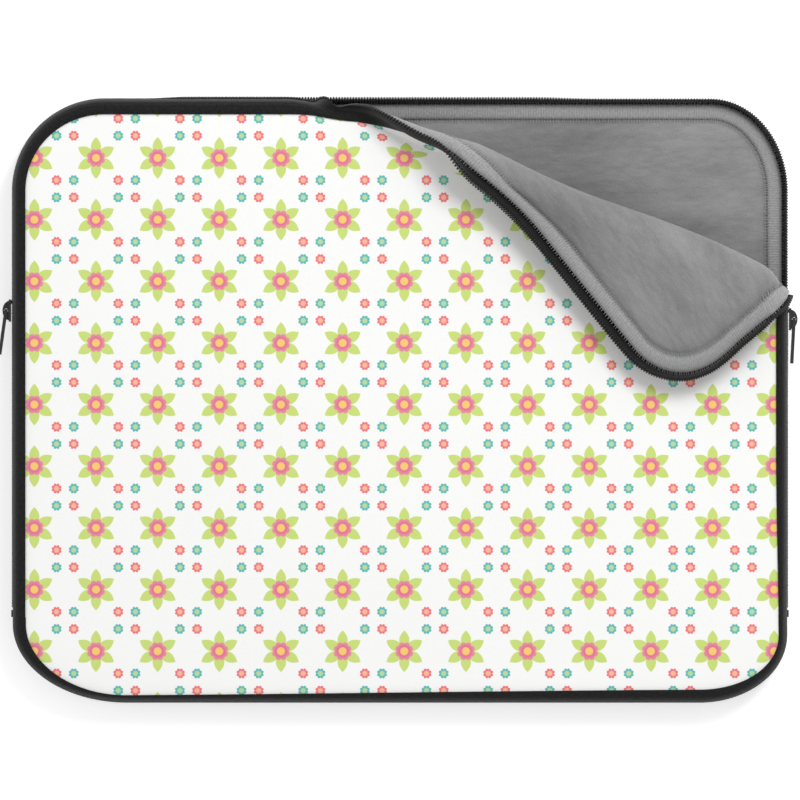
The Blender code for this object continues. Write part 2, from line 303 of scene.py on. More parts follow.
def teeth_shift(points):
    """How far the coil stands out along the top edge, where the tape is pulled tight."""
    top = ramped(points[:, 1], TEETH_TOP)
    between = ramped(points[:, 0], TEETH_FROM) * (1 - ramped(points[:, 0], TEETH_TO))
    return TEETH_OUT * top * between


def swell(points, size):
    """Soft unevenness of a padded sheet, in metres of height."""
    total = np.zeros(len(points))
    for across, up, phase in WAVES:
        total += np.sin(across * points[:, 0] + up * points[:, 1] + phase) / len(WAVES)
    return size * total


def held_share(points):
    """How far each point near the right slider is held down on the sleeve."""
    beside = ramped(points[:, 0], HOLD_X)
    below = 1.0 - ramped(points[:, 1], HOLD_Y)
    return beside * below


def roll_at(along):
    """The roll's radius and where it starts: it is tighter at its left end."""
    radius = ROLL_RADIUS * (1 - ROLL_TIGHTER * (1 - ramped(along, TIGHT_UNTIL)))
    start = BEND_START - ROLL_EARLIER * (1 - ramped(along, EARLY_UNTIL))
    return radius, start


def creep_at(along):
    """How far the sheet slips along the fold, which is nothing where the fold begins."""
    return CREEP * ramped(along, CREEP_SPAN)


def creased(across):
    """Where the sheet is pressed thin by the fold."""
    return ramped(across, CREASE_IN) * (1 - ramped(across, CREASE_OUT))


def carried_round(points):
    """Carry closed, flat points round the fold to where they lie now."""
    across = points @ ACROSS
    along = points @ ALONG
    offset = points[:, 2] - SHEET_MIDDLE
    deep = np.minimum(offset + PRESSED_BELOW, 0.0)
    pressed = PRESS_LEFT + PRESS_MORE * ramped(along, PRESS_SPAN)
    offset = offset - (deep * pressed + np.maximum(offset, 0.0) * PRESS_OUTSIDE) * creased(across)
    radius, start = roll_at(along)
    angle = np.clip((across - start) / radius, 0.0, 2 * TURN)
    after = np.maximum(across - start - 2 * TURN * radius, 0.0)
    reach = np.where(across > start, start + radius * np.sin(angle), across)
    reach = reach + after * math.cos(2 * TURN) - offset * np.sin(angle)
    rise = radius * (1 - np.cos(angle)) + after * math.sin(2 * TURN) + offset * np.cos(angle)
    limit = (RIGHT_LIMIT - ACROSS[0] * reach) / ALONG[0] - CREEP
    short = limit - BLUNT * np.logaddexp(0.0, (limit - along) / BLUNT)
    in_bend = ramped(across, (BEND_START - BLUNT, 2 * BLUNT)) * (1 - ramped(across, (BEND_END, BLUNT)))
    along = along + (short - along) * in_bend
    along = along + creep_at(along) * ramped(across, (SLIP[0], SLIP[1] - SLIP[0]))
    folded = np.outer(along, ALONG) + np.outer(reach, ACROSS)
    folded[:, 2] = SHEET_MIDDLE + rise
    folded += eased(along, across)
    held = held_share(points)[:, None]
    return folded * (1 - held) + points * held


def eased(along, across):
    """How the roll and the flap settle away from a straight fold, as shifts in metres."""
    wave = np.cos(math.pi * (np.clip(along, *WAVE_ENDS) - WAVE_TOP) / WAVE_HALF)
    roll_shift = ROLL_SHIFT - WAVE_SIZE * wave - ROLL_DROP * ramped(along, DROP_SPAN)
    on_roll = ramped(across, (CREEP_START, BEND_START + ROLL_EARLIER - CREEP_START))
    on_flap = ramped(across, (BEND_MIDDLE, FLAP_EASE))
    free = 1.0 - ramped(along, FREE_UNTIL)
    tip = ramped(across, TIP_ACROSS) * ramped(along, TIP_ALONG)
    across_shift = roll_shift * on_roll * (1 - on_flap) + FLAP_SHIFT[1] * on_flap * free - FLAP_TIP[1] * tip
    along_shift = FLAP_SHIFT[0] * on_flap * free + FLAP_TIP[0] * tip
    sagging = ramped(along, SAG_FROM) * (1 - ramped(along, SAG_TO))
    sag_start = SAG_ACROSS[0] + SAG_LATER * ramped(along, SAG_LATER_SPAN)
    across_shift = across_shift - FOLD_SAG * sagging * ramped(across, (sag_start, SAG_ACROSS[1]))
    return np.outer(along_shift, ALONG) + np.outer(across_shift, ACROSS)


def tape_round(base, inward, insets, depths):
    """Carry the zip tape round the fold, with its free edge leaning as the roll turns it."""
    lift = np.full(len(base), THICKNESS - LEAN_PIVOT[1])
    pivots = np.column_stack((base + inward * LEAN_PIVOT[0], lift))
    across = pivots @ ACROSS
    along = pivots @ ALONG
    radius, start = roll_at(along)
    turned = np.clip((across - start) / radius, 0.0, 2 * TURN) * (1 - held_share(pivots))
    top = ramped(base[:, 1], LEAN_ABOVE) * smooth((LEAN_LEFT_OF - base[:, 0]) / LEAN_FADE)
    wanted = sum(turn * ramped(along, (begin, length)) for turn, begin, length in LEAN_STEPS)
    beside = turned + LEAN_TIP * ramped(across, (BEND_END, LEAN_TIP_LENGTH))
    pointing = beside + (wanted - beside) * top
    lean = ((pointing - turned) * ramped(depths, (LEAN_PIVOT[1], LEAN_BLEND)))[:, None]
    gathered = (GATHER - GATHER_LESS * ramped(along, GATHER_SPAN)) * np.sin(pointing) ** 2 * top
    pressed = TAPE_PRESS * creased(across) * ramped(along, PRESS_SPAN) + gathered
    down = (np.maximum(depths - LEAN_PIVOT[1], 0.0) * (1 - pressed))[:, None]
    out = (insets - LEAN_PIVOT[0])[:, None]
    sine, cosine = np.sin(turned)[:, None], np.cos(turned)[:, None]
    upright = np.array((0.0, 0.0, 1.0))
    inside = (inward @ ALONG[:2])[:, None] * ALONG
    inside = inside + (inward @ ACROSS[:2])[:, None] * (cosine * ACROSS + sine * upright)
    below = sine * ACROSS - cosine * upright
    free = down * (np.cos(lean) * below - np.sin(lean) * inside)
    free = free + out * (np.cos(lean) * inside + np.sin(lean) * below)
    flat = np.column_stack((base + inward * insets[:, None], THICKNESS - depths))
    return np.where(depths[:, None] > LEAN_PIVOT[1], carried_round(pivots) + free, carried_round(flat))


STRETCHES = ("front", "lip", "bend_low", "bend_high", "flap")


def stretch_of(points, rest, rises):
    """Which stretch of the fold each closed point belongs to, by how far it has risen at rest."""
    across = points @ ACROSS
    radius, start = roll_at(points @ ALONG)
    angle = (across - start) / radius
    risen = rest[:, 2] - SHEET_MIDDLE
    number = np.where(across > CREEP_START, 1, 0)
    number = np.where(angle > BEND_FROM, 2, number)
    above = (angle > HIGH_FROM) & (risen > (rises[0][1] + rises[1][0]) / 2)
    number = np.where(above | (angle > HIGH_SURELY), 3, number)
    over = (angle > FLAP_FROM) & (risen > rises[1][1] + CUT_MARGIN)
    wide = radius > WIDE_ROLL * ROLL_RADIUS
    return np.where(over | (wide & (angle > FLAP_SURELY)), 4, number)


def height(rise):
    """A point at a rise above the sheet's middle."""
    return Vector((0.0, 0.0, SHEET_MIDDLE + rise))


def follow(piece, stretch):
    """Put a piece on the body that its stretch follows; the lip and bend pieces stay where they lie, on no
    body.
    """
    if stretch == "front":
        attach(piece, "shell")
    elif stretch == "lip":
        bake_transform(piece)
    elif stretch == "bend_low":
        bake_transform(piece)
    elif stretch == "bend_high":
        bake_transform(piece)
    else:
        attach(piece, "flap")


# ---------------------------------------------------------------- meshes

def new_mesh(name, points, faces, cloth, material, normals=None):
    """A smooth mesh with its cloth coordinates in a UV map."""
    mesh = bpy.data.meshes.new(name)
    mesh.from_pydata(points.tolist(), [], faces)
    layer = mesh.uv_layers.new(name="cloth")
    corners = np.zeros(len(mesh.loops), np.int32)
    mesh.loops.foreach_get("vertex_index", corners)
    layer.data.foreach_set("uv", cloth[corners].astype(np.float32).ravel())
    mesh.shade_smooth()
    mesh.materials.append(material)
    if normals is not None:
        mesh.normals_split_custom_set_from_vertices(normals.tolist())
    piece = bpy.data.objects.new(name, mesh)
    bpy.context.scene.collection.objects.link(piece)
    return piece


def rest_normals(points, faces):
    """Vertex normals of the whole sheet, so that its stretches shade as one."""
    mesh = bpy.data.meshes.new("whole")
    mesh.from_pydata(points.tolist(), [], faces)
    normals = np.zeros(len(points) * 3, np.float32)
    mesh.vertices.foreach_get("normal", normals)
    bpy.data.meshes.remove(mesh)
    return normals.reshape(-1, 3)


def back_piece(name, points, faces, cloth, material):
    """A piece of the back half, which stays with the sleeve."""
    piece = new_mesh(name, points, faces, cloth, material)
    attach(piece, "shell")
    return {"front": piece}


def front_pieces(name, points, faces, cloth, material, rest=None):
    """A layer of the front half, carried round the fold and divided into its stretches."""
    rest = carried_round(points) if rest is None else rest
    centres = np.array([points[list(face)].mean(axis=0) for face in faces])
    rest_centres = np.array([rest[list(face)].mean(axis=0) for face in faces])
    rises = RISES.get(material.name, OUTER_RISES)
    which = stretch_of(centres, rest_centres, rises)
    normals = rest_normals(rest, faces)
    made = {}
    for number, stretch in enumerate(STRETCHES):
        chosen = [faces[index] for index in np.flatnonzero(which == number)]
        if not chosen:
            continue
        used = np.unique(np.concatenate([np.array(face) for face in chosen]))
        place = np.full(len(points), -1)
        place[used] = np.arange(len(used))
        local = [tuple(int(place[corner]) for corner in face) for face in chosen]
        piece = new_mesh(f"{stretch}_{name}", rest[used], local, cloth[used], material, normals[used])
        follow(piece, stretch)
        piece["flat"] = flat_size(points, chosen)
        made[stretch] = piece
    return made


def flat_size(points, faces):
    """Width, length and area of some closed faces, measured along and across the fold."""
    used = points[np.unique(np.concatenate([np.array(face) for face in faces]))]
    spans = [float(np.ptp(used @ axis)) for axis in (ALONG, ACROSS)]
    area = 0.0
    for count in (3, 4):
        corners = points[[face for face in faces if len(face) == count] or np.zeros((0, count), int)]
        for step in range(1, count - 1):
            sides = corners[:, step] - corners[:, 0], corners[:, step + 1] - corners[:, 0]
            area += float(np.linalg.norm(np.cross(*sides), axis=1).sum()) / 2
    return [*spans, area]


def inside_outline(x, y, inset):
    """True where a point lies inside the outline drawn in by inset."""
    half_x = WIDTH / 2 - inset
    half_y = HALF_HEIGHT - inset
    inside = (np.abs(x) < half_x) & (np.abs(y) < half_y)
    for side_x, side_y, radius_x, radius_y in CORNERS:
        across = side_x * x - (WIDTH / 2 - radius_x)
        up = side_y * y - (HALF_HEIGHT - radius_y)
        corner = (across > 0) & (up > 0)
        share = (across / (radius_x - inset)) ** 2 + (up / (radius_y - inset)) ** 2
        inside &= ~(corner & (share > 1.0))
    return inside


def print_depth(ring):
    """The printed cover turns down into the seam."""
    return SEAM_DIP * np.exp(-(ring / SEAM_REACH) ** 1.3)


def plush_depth(ring):
    """The lining lies flat under the ribbon, dips along its stitches, and then puffs up."""
    puffed = PLUSH_AT_SEAM + PLUSH_DROP * ramped(ring, PLUSH_SPAN)
    groove = GROOVE_DEPTH * np.exp(-((ring - GROOVE_AT) / GROOVE_HALF) ** 2)
    return puffed - groove


def foam_depth(ring):
    """The foam's outer face."""
    return FOAM_DEPTH + FOAM_EDGE * np.exp(-ring / FOAM_EDGE_REACH)


def sheet_mesh(inset, profile, rings, uneven, half):
    """A sheet inside the outline, finer over the fold, with a profile from its edge inwards."""
    base, inward, _ = rail(SHEET_STEP)
    inset = inset(base, inward)[:, None]
    flat_rings = [base + inward * (inset + ring) for ring in rings]
    from_edge = [np.full(len(base), ring) for ring in rings]
    columns = np.arange(-0.17, 0.17, COARSE_STEP)
    rows = np.arange(-0.132, 0.132, COARSE_STEP)
    coarse = np.stack(np.meshgrid(columns, rows), -1).reshape(-1, 2)
    inner = coarse
    if half == "front":
        across = coarse @ ACROSS[:2]
        clear = (across < CREEP_START - 0.004) | (across > BEND_END + 0.006)
        inner = np.vstack((fold_lattice(), coarse[clear]))
    margin = float(inset.max()) + rings[-1] + RAIL_STEP
    inner = inner[inside_outline(inner[:, 0], inner[:, 1], margin)]
    flat = np.vstack((*flat_rings, inner))
    dip = np.concatenate((*from_edge, np.full(len(inner), INNER_RING)))
    count = len(base)
    border = [(index, (index + 1) % count) for index in range(count)]
    found, _, faces, *_ = delaunay_2d_cdt([Vector(point) for point in flat], border, [], 1, 1e-6)
    if len(found) != len(flat):
        raise RuntimeError("the sheet's points ran together")
    depth = profile(dip) + swell(flat, uneven) * smooth(dip / SWELL_EASE)
    solid = np.column_stack((flat, level(half, depth)))
    return solid, [tuple(face) for face in faces], flat


def fold_lattice():
    """A close lattice along and across the fold."""
    along = np.arange(*LATTICE_ALONG)
    across = np.arange(CREEP_START - 0.003, BEND_END + 0.0045, LATTICE_STEP)
    grid = np.stack(np.meshgrid(along, across), -1).reshape(-1, 2)
    return np.outer(grid[:, 0], ALONG[:2]) + np.outer(grid[:, 1], ACROSS[:2])


def facing(faces, points, upwards):
    """Turn every face of a flat sheet to face up or down."""
    turned = []
    for face in faces:
        first, second, third = (points[corner] for corner in face[:3])
        up = np.cross(second - first, third - first)[2] > 0
        turned.append(face if up == upwards else tuple(reversed(face)))
    return turned


def widen(base, inward, insets):
    """Stretch the tape's front end out to the black band's width."""
    wider = (band_width(base, inward) - TAPE_FIXED) / (TAPE_REACH - TAPE_FIXED)
    return np.where(insets > TAPE_FIXED, TAPE_FIXED + (insets - TAPE_FIXED) * wider, insets)


def loft(section, half, keep=None, tape=False):
    """Run a section of (inset, depth) points round the edge, with lengths as cloth coordinates."""
    base, inward, run = rail(RAIL_STEP)
    section = np.array(section)
    lengths = np.concatenate(([0.0], np.cumsum(np.linalg.norm(np.diff(section, axis=0), axis=1))))
    count = len(base)
    wide = len(section)
    insets = np.broadcast_to(section[:, 0], (count, wide)).ravel()
    depths = np.broadcast_to(section[:, 1], (count, wide)).ravel()
    every = np.repeat(np.arange(count), wide)
    if tape:
        on_front = (depths > THICKNESS / 2) | (half == "front")
        insets = np.where(on_front, widen(base[every], inward[every], insets), insets)
    flat = base[:, None, :] + inward[:, None, :] * insets.reshape(count, wide, 1)
    heights = level(half, depths).reshape(count, wide)
    points = np.concatenate((flat, heights[..., None]), axis=2).reshape(-1, 3)
    cloth = np.stack(np.broadcast_arrays(run[:count, None], lengths[None, :]), axis=2).reshape(-1, 2)
    faces = []
    for index in range(count):
        after = (index + 1) % count
        if keep is not None and not (keep(base[index]) and keep(base[after])):
            continue
        for step in range(wide):
            other = (step + 1) % wide
            face = (index * wide + step, after * wide + step, after * wide + other, index * wide + other)
            faces.append(face if half == "back" else tuple(reversed(face)))
    rest = tape_round(base[every], inward[every], insets, depths) if tape and half == "front" else None
    return points, faces, cloth, rest


def tubes(lines, radius, sides=4):
    """Thin round threads along several polylines of closed points."""
    points = []
    faces = []
    start = 0
    for line in lines:
        tangent = np.gradient(line, axis=0)
        tangent /= np.maximum(np.linalg.norm(tangent, axis=1), 1e-12)[:, None]
        guide = np.where(np.abs(tangent[:, 2:3]) > 0.9, (1.0, 0.0, 0.0), (0.0, 0.0, 1.0))
        side = np.cross(tangent, guide)
        side /= np.linalg.norm(side, axis=1)[:, None]
        up = np.cross(side, tangent)
        for turn in range(sides):
            angle = 2 * math.pi * turn / sides
            points.append(line + radius * (math.cos(angle) * side + math.sin(angle) * up))
        count = len(line)
        for turn in range(sides):
            after = (turn + 1) % sides
            here, there = start + turn * count, start + after * count
            for step in range(count - 1):
                faces.append((here + step, here + step + 1, there + step + 1, there + step))
        faces.append(tuple(start + turn * count for turn in reversed(range(sides))))
        faces.append(tuple(start + turn * count + count - 1 for turn in range(sides)))
        start += sides * count
    return np.vstack(points), faces


def on_edge(lengths, insets, depths, half):
    """Closed points given by length round the edge, inset and depth."""
    base, inward = along_rail(lengths)
    flat = base + inward * np.asarray(insets)[:, None]
    return np.column_stack((flat, level(half, depths)))


def zip_lengths():
    """The stretch of the outline that the zip takes, from the right end round to the left."""
    base, _, run = rail(RAIL_STEP)
    above = np.flatnonzero(base[:, 1] > ZIP_BOTTOM)
    return run[above[0]], run[above[-1]]


def coil_line(half):
    """The coil's helix along one half's edge, closed and at rest."""
    first, last = zip_lengths()
    turns = int((last - first) / COIL_PITCH)
    steps = np.arange(turns * 8 + 1) / 8
    lengths = first + steps * COIL_PITCH + (0 if half == "back" else COIL_PITCH / 2)
    angle = 2 * math.pi * steps
    base, inward = along_rail(lengths)
    insets = COIL_AT[0] + COIL_SIZE[0] * np.cos(angle) - teeth_shift(base)
    depths = COIL_AT[1] + COIL_SIZE[1] * np.sin(angle)
    closed = on_edge(lengths, insets, depths, half)
    return closed, closed if half == "back" else tape_round(base, inward, insets, depths)


def stitch_lines(half, outer, inner, depth, pitch):
    """Short threads across a seam, a pitch apart, right round the edge."""
    _, _, run = rail(RAIL_STEP)
    lines = []
    for number in range(int(run[-1] / pitch)):
        uneven = 0.12 * math.sin(number * 2.7) * pitch
        share = np.linspace(0.0, 1.0, 4)
        lengths = np.full(len(share), number * pitch + uneven)
        reach = outer + (inner - outer) * share
        reach[-1] += 0.0003 * math.sin(number * 1.9)
        raised = depth + 0.00018 * np.sin(math.pi * share)
        lines.append(on_edge(lengths, reach, raised, half))
    return lines


# ---------------------------------------------------------------- materials

class Graph:
    """A short way to write a material's nodes."""

    def __init__(self, name, roughness, sheen=0.0, specular=0.5, coat=0.0):
        self.material = bpy.data.materials.new(name)
        self.material.use_nodes = True
        self.tree = self.material.node_tree
        self.shader = self.tree.nodes["Principled BSDF"]
        for socket, value in (("Roughness", roughness), ("Sheen Weight", sheen),
                              ("Specular IOR Level", specular), ("Coat Weight", coat)):
            self.shader.inputs[socket].default_value = value

    def node(self, kind, **settings):
        made = self.tree.nodes.new(kind)
        for name, value in settings.items():
            setattr(made, name, value)
        return made

    def set(self, socket, value):
        if isinstance(value, bpy.types.NodeSocket):
            self.tree.links.new(value, socket)
        else:
            socket.default_value = value

    def math(self, operation, *values):
        made = self.node("ShaderNodeMath", operation=operation)
        for socket, value in zip(made.inputs, values):
            self.set(socket, value)
        return made.outputs[0]

    def cloth(self):
        """The two cloth coordinates, in metres."""
        source = self.node("ShaderNodeUVMap", uv_map="cloth")
        split = self.node("ShaderNodeSeparateXYZ")
        self.tree.links.new(source.outputs["UV"], split.inputs[0])
        return split.outputs[0], split.outputs[1], source.outputs["UV"]

    def noise(self, vector, scale, detail=3.0, rough=0.55):
        made = self.node("ShaderNodeTexNoise")
        self.tree.links.new(vector, made.inputs["Vector"])
        made.inputs["Scale"].default_value = scale
        made.inputs["Detail"].default_value = detail
        made.inputs["Roughness"].default_value = rough
        return made.outputs["Fac"]

    def mix(self, share, first, second):
        made = self.node("ShaderNodeMix", data_type="RGBA")
        self.set(made.inputs["Factor"], share)
        colours = [socket for socket in made.inputs if socket.type == "RGBA"]
        self.set(colours[0], first)
        self.set(colours[1], second)
        return [socket for socket in made.outputs if socket.type == "RGBA"][0]

    def ramp(self, value, low, high):
        made = self.node("ShaderNodeMapRange", interpolation_type="SMOOTHSTEP")
        for socket, number in zip(made.inputs, (value, low, high)):
            self.set(socket, number)
        return made.outputs[0]

    def bump(self, height, strength, distance):
        made = self.node("ShaderNodeBump")
        made.inputs["Strength"].default_value = strength
        made.inputs["Distance"].default_value = distance
        self.tree.links.new(height, made.inputs["Height"])
        self.tree.links.new(made.outputs[0], self.shader.inputs["Normal"])

    def colour(self, value):
        self.set(self.shader.inputs["Base Color"], value)


def rgb(red, green, blue):
    """A linear colour from display values of 0 to 255."""
    made = []
    for value in (red, green, blue):
        share = value / 255
        made.append(share / 12.92 if share < 0.04045 else ((share + 0.055) / 1.055) ** 2.4)
    return (*made, 1.0)


def weave(graph, first, second, pitch):
    """A plain weave's height from two cloth coordinates."""
    wave = 2 * math.pi / pitch
    over = graph.math("SINE", graph.math("MULTIPLY", first, wave))
    under = graph.math("SINE", graph.math("MULTIPLY", second, wave))
    return graph.math("MULTIPLY", over, under)


def petals(graph, x, y, radius, depth, soft=0.00018):
    """Inside of an eight-petalled flower."""
    away = graph.math("SQRT", graph.math("ADD", graph.math("MULTIPLY", x, x), graph.math("MULTIPLY", y, y)))
    turn = graph.math("ARCTAN2", y, x)
    lobes = graph.math("ABSOLUTE", graph.math("SINE", graph.math("MULTIPLY", turn, 4.0)))
    lobes = graph.math("POWER", lobes, 0.6)
    edge = graph.math("ADD", graph.math("MULTIPLY", lobes, depth), radius)
    gap = graph.math("SUBTRACT", edge, away)
    return graph.ramp(gap, -soft, soft), away


def leaf(graph, x, y, angle, length, half_width):
    """Inside of a pointed leaf that grows out of the flower's middle."""
    cosine, sine = math.cos(angle), math.sin(angle)
    along = graph.math("ADD", graph.math("MULTIPLY", x, cosine), graph.math("MULTIPLY", y, sine))
    side = graph.math("SUBTRACT", graph.math("MULTIPLY", y, cosine), graph.math("MULTIPLY", x, sine))
    middle = graph.math("DIVIDE", graph.math("SUBTRACT", along, length * 0.53), length * 0.47)
    bulge = graph.math("SUBTRACT", 1.0, graph.math("MULTIPLY", middle, middle))
    gap = graph.math("SUBTRACT", graph.math("MULTIPLY", bulge, half_width), graph.math("ABSOLUTE", side))
    return graph.ramp(gap, -0.00018, 0.00018)


def tiled(graph, value, origin):
    """Distance from the nearest grid line of the print."""
    share = graph.math("DIVIDE", graph.math("SUBTRACT", value, origin), TILE)
    part = graph.math("FRACT", graph.math("ADD", share, 0.5))
    return graph.math("MULTIPLY", graph.math("SUBTRACT", part, 0.5), TILE)


def print_material():
    """White canvas printed with large flowers and small ones between them."""
    graph = Graph("flower_print", 0.78, sheen=0.05, specular=0.25)
    u, v, vector = graph.cloth()
    x = tiled(graph, u, FLOWER[0])
    y = tiled(graph, v, FLOWER[1])
    side_x = graph.math("ABSOLUTE", x)
    side_y = graph.math("ABSOLUTE", y)
    colour = rgb(252, 252, 250)
    green = graph.mix(graph.noise(vector, 90.0), rgb(200, 224, 116), rgb(212, 228, 134))
    for angle in (math.radians(90), math.radians(31)):
        colour = graph.mix(leaf(graph, side_x, side_y, angle, 0.0094, 0.0023), colour, green)
    whole, away = petals(graph, x, y, 0.0033, 0.00090)
    pink = graph.mix(graph.ramp(away, 0.0016, 0.0040), rgb(226, 112, 150), rgb(236, 146, 166))
    colour = graph.mix(whole, colour, pink)
    colour = graph.mix(graph.ramp(away, 0.0021, 0.0015), colour, rgb(253, 206, 118))
    small_x = tiled(graph, u, FLOWER[0] + TILE / 2)
    small_y = tiled(graph, v, FLOWER[1] + TILE / 2)
    coral_side = graph.math("LESS_THAN", graph.math("MULTIPLY", small_x, small_y), 0.0)
    near_x = graph.math("SUBTRACT", graph.math("ABSOLUTE", small_x), 0.00387)
    near_y = graph.math("SUBTRACT", graph.math("ABSOLUTE", small_y), 0.00387)
    little, reach = petals(graph, near_x, near_y, 0.00165, 0.00070, 0.00014)
    petal = graph.mix(coral_side, rgb(96, 190, 190), rgb(240, 124, 138))
    heart = graph.mix(coral_side, rgb(190, 220, 162), rgb(255, 190, 152))
    colour = graph.mix(little, colour, petal)
    colour = graph.mix(graph.ramp(reach, 0.00135, 0.00095), colour, heart)
    graph.colour(colour)
    threads = weave(graph, u, v, 0.0007)
    soft = graph.math("MULTIPLY", graph.noise(vector, 60.0), 2.0)
    graph.bump(graph.math("ADD", threads, soft), 0.25, 0.00012)
    return graph.material


def plush_material():
    """Short grey plush, stroked this way and that."""
    graph = Graph("plush", 0.95, sheen=0.45, specular=0.15)
    graph.shader.inputs["Sheen Roughness"].default_value = 0.45
    _, _, vector = graph.cloth()
    stretched = graph.node("ShaderNodeMapping")
    stretched.inputs["Rotation"].default_value = (0.0, 0.0, math.radians(-32))
    stretched.inputs["Scale"].default_value = (0.35, 1.0, 1.0)
    graph.tree.links.new(vector, stretched.inputs[0])
    stroked = graph.noise(stretched.outputs[0], 55.0, 4.0, 0.6)
    lines = graph.noise(stretched.outputs[0], 420.0, 2.0, 0.6)
    grain = graph.noise(vector, 1500.0, 2.0, 0.7)
    patches = graph.noise(vector, 14.0, 2.0, 0.5)
    shade = graph.math("ADD", graph.math("MULTIPLY", stroked, 0.42), graph.math("MULTIPLY", patches, 0.30))
    shade = graph.math("ADD", shade, graph.math("MULTIPLY", lines, 0.16))
    shade = graph.math("ADD", shade, graph.math("MULTIPLY", grain, 0.22))
    graph.colour(graph.mix(graph.ramp(shade, 0.34, 0.76), rgb(112, 112, 113), rgb(158, 158, 159)))
    raised = graph.math("ADD", graph.math("MULTIPLY", lines, 0.7), graph.math("MULTIPLY", grain, 0.6))
    graph.bump(graph.math("ADD", raised, stroked), 0.55, 0.0006)
    return graph.material


def ribbon_material():
    """Light grey binding with fine ribs across it, with painted shade darkening the grooves between the
    ribs.
    """
    graph = Graph("ribbon", 0.88, sheen=0.25, specular=0.2)
    u, v, vector = graph.cloth()
    ribs = graph.math("SINE", graph.math("MULTIPLY", u, 2 * math.pi / 0.00115))
    threads = weave(graph, u, v, 0.00055)
    fuzz = graph.noise(vector, 900.0, 2.0)
    # The ribs darken the colour in their grooves, which is painted shade, mixed with the cloth's own random
    # fuzz.
    share = graph.math("ADD", graph.math("MULTIPLY", ribs, 0.12), fuzz)
    graph.colour(graph.mix(graph.ramp(share, 0.1, 0.95), rgb(140, 140, 141), rgb(172, 172, 172)))
    graph.bump(graph.math("ADD", ribs, graph.math("MULTIPLY", threads, 0.5)), 0.4, 0.00016)
    return graph.material


def tape_material():
    """Matte black woven zip tape."""
    graph = Graph("black_tape", 0.82, sheen=0.10, specular=0.25)
    u, v, vector = graph.cloth()
    twill = graph.math("SINE", graph.math("MULTIPLY", graph.math("ADD", u, v), 2 * math.pi / 0.0008))
    lines = graph.math("SINE", graph.math("MULTIPLY", v, 2 * math.pi / 0.0016))
    fuzz = graph.noise(vector, 700.0, 3.0)
    graph.colour(graph.mix(graph.ramp(fuzz, 0.3, 0.75), rgb(13, 13, 14), rgb(30, 30, 31)))
    graph.bump(graph.math("ADD", twill, graph.math("MULTIPLY", lines, 0.6)), 0.5, 0.00012)
    return graph.material


def plain_material(name, low, high, roughness, scale, strength, **extra):
    """A fine-grained material between two shades."""
    graph = Graph(name, roughness, **extra)
    source = graph.node("ShaderNodeTexCoord").outputs["Object"]
    grain = graph.noise(source, scale, 4.0)
    graph.colour(graph.mix(graph.ramp(grain, 0.3, 0.7), low, high))
    graph.bump(grain, strength, 0.0002)
    return graph.material


PRINT = print_material()
PLUSH = plush_material()
RIBBON = ribbon_material()
TAPE = tape_material()
COIL = plain_material("coil_plastic", rgb(20, 20, 21), rgb(36, 36, 38), 0.38, 900.0, 0.15, specular=0.6)
THREAD = plain_material("thread", rgb(138, 138, 138), rgb(172, 172, 172), 0.7, 2600.0, 0.4, sheen=0.2)
METAL = plain_material("black_enamel", rgb(12, 12, 13), rgb(30, 30, 32), 0.42, 700.0, 0.25, coat=0.25)
FOAM = plain_material("foam_core", rgb(196, 196, 192), rgb(214, 214, 210), 0.9, 1400.0, 0.6, specular=0.2)
FLOOR = plain_material("floor", rgb(250, 250, 250), rgb(255, 255, 255), 0.9, 3.0, 0.02, specular=0.1)


# ---------------------------------------------------------------- the sleeve

def make_layer(name, half, inset, profile, rings, uneven, outwards, material):
    """One fabric layer of a half."""
    points, faces, cloth = sheet_mesh(inset, profile, rings, uneven, half)
    faces = facing(faces, points, (half == "front") == outwards)
    if half == "back" and outwards:
        cloth = cloth * (-1.0, 1.0)
    if half == "front":
        return front_pieces(name, points, faces, cloth, material)
    made = back_piece(f"back_{name}", points, faces, cloth, material)
    made["front"]["flat"] = flat_size(points, faces)
    return made


def make_edge(name, section, half, material, keep=None):
    """One strip that runs round a half's edge."""
    points, faces, cloth, rest = loft(section, half, keep, material is TAPE)
    if half == "back":
        return back_piece(f"back_{name}", points, faces, cloth, material)
    return front_pieces(name, points, faces, cloth, material, rest)


def make_threads(name, lines, radius, half, material, rest_lines=None):
    """Threads or coil as one piece, or as the fold's stretches."""
    points, faces = tubes(lines, radius)
    rest = tubes(rest_lines, radius)[0] if rest_lines else None
    cloth = points[:, :2].copy()
    if half == "back":
        return back_piece(f"back_{name}", points, faces, cloth, material)
    return front_pieces(name, points, faces, cloth, material, rest)


def stand_for(pieces, half, layer):
    """Let each piece stand for the CAD nodes of its layer."""
    names = {"front": [half], "lip": ["lip"], "bend_low": ["roll"], "flap": ["flap"]}
    for stretch, piece in pieces.items():
        for prefix in names.get(stretch, ()):
            for suffix in ("", "_left", "_right"):
                node = f"{prefix}_{layer}{suffix}"
                if node in frame["nodes"]:
                    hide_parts(node)


def even_inset(inset):
    """The same inset all round."""
    return lambda base, inward: np.full(len(base), inset)


def print_inset(half):
    """The printed cover ends just under the black band."""
    if half == "back":
        return even_inset(TAPE_REACH - PRINT_TUCK)
    return lambda base, inward: band_width(base, inward) - PRINT_TUCK


def above_gusset(point):
    """True for an edge point that the zip runs past."""
    return point[1] > TAPE_BOTTOM


def below_zip(point):
    """True for an edge point that the gusset runs past."""
    return point[1] < GUSSET_TOP


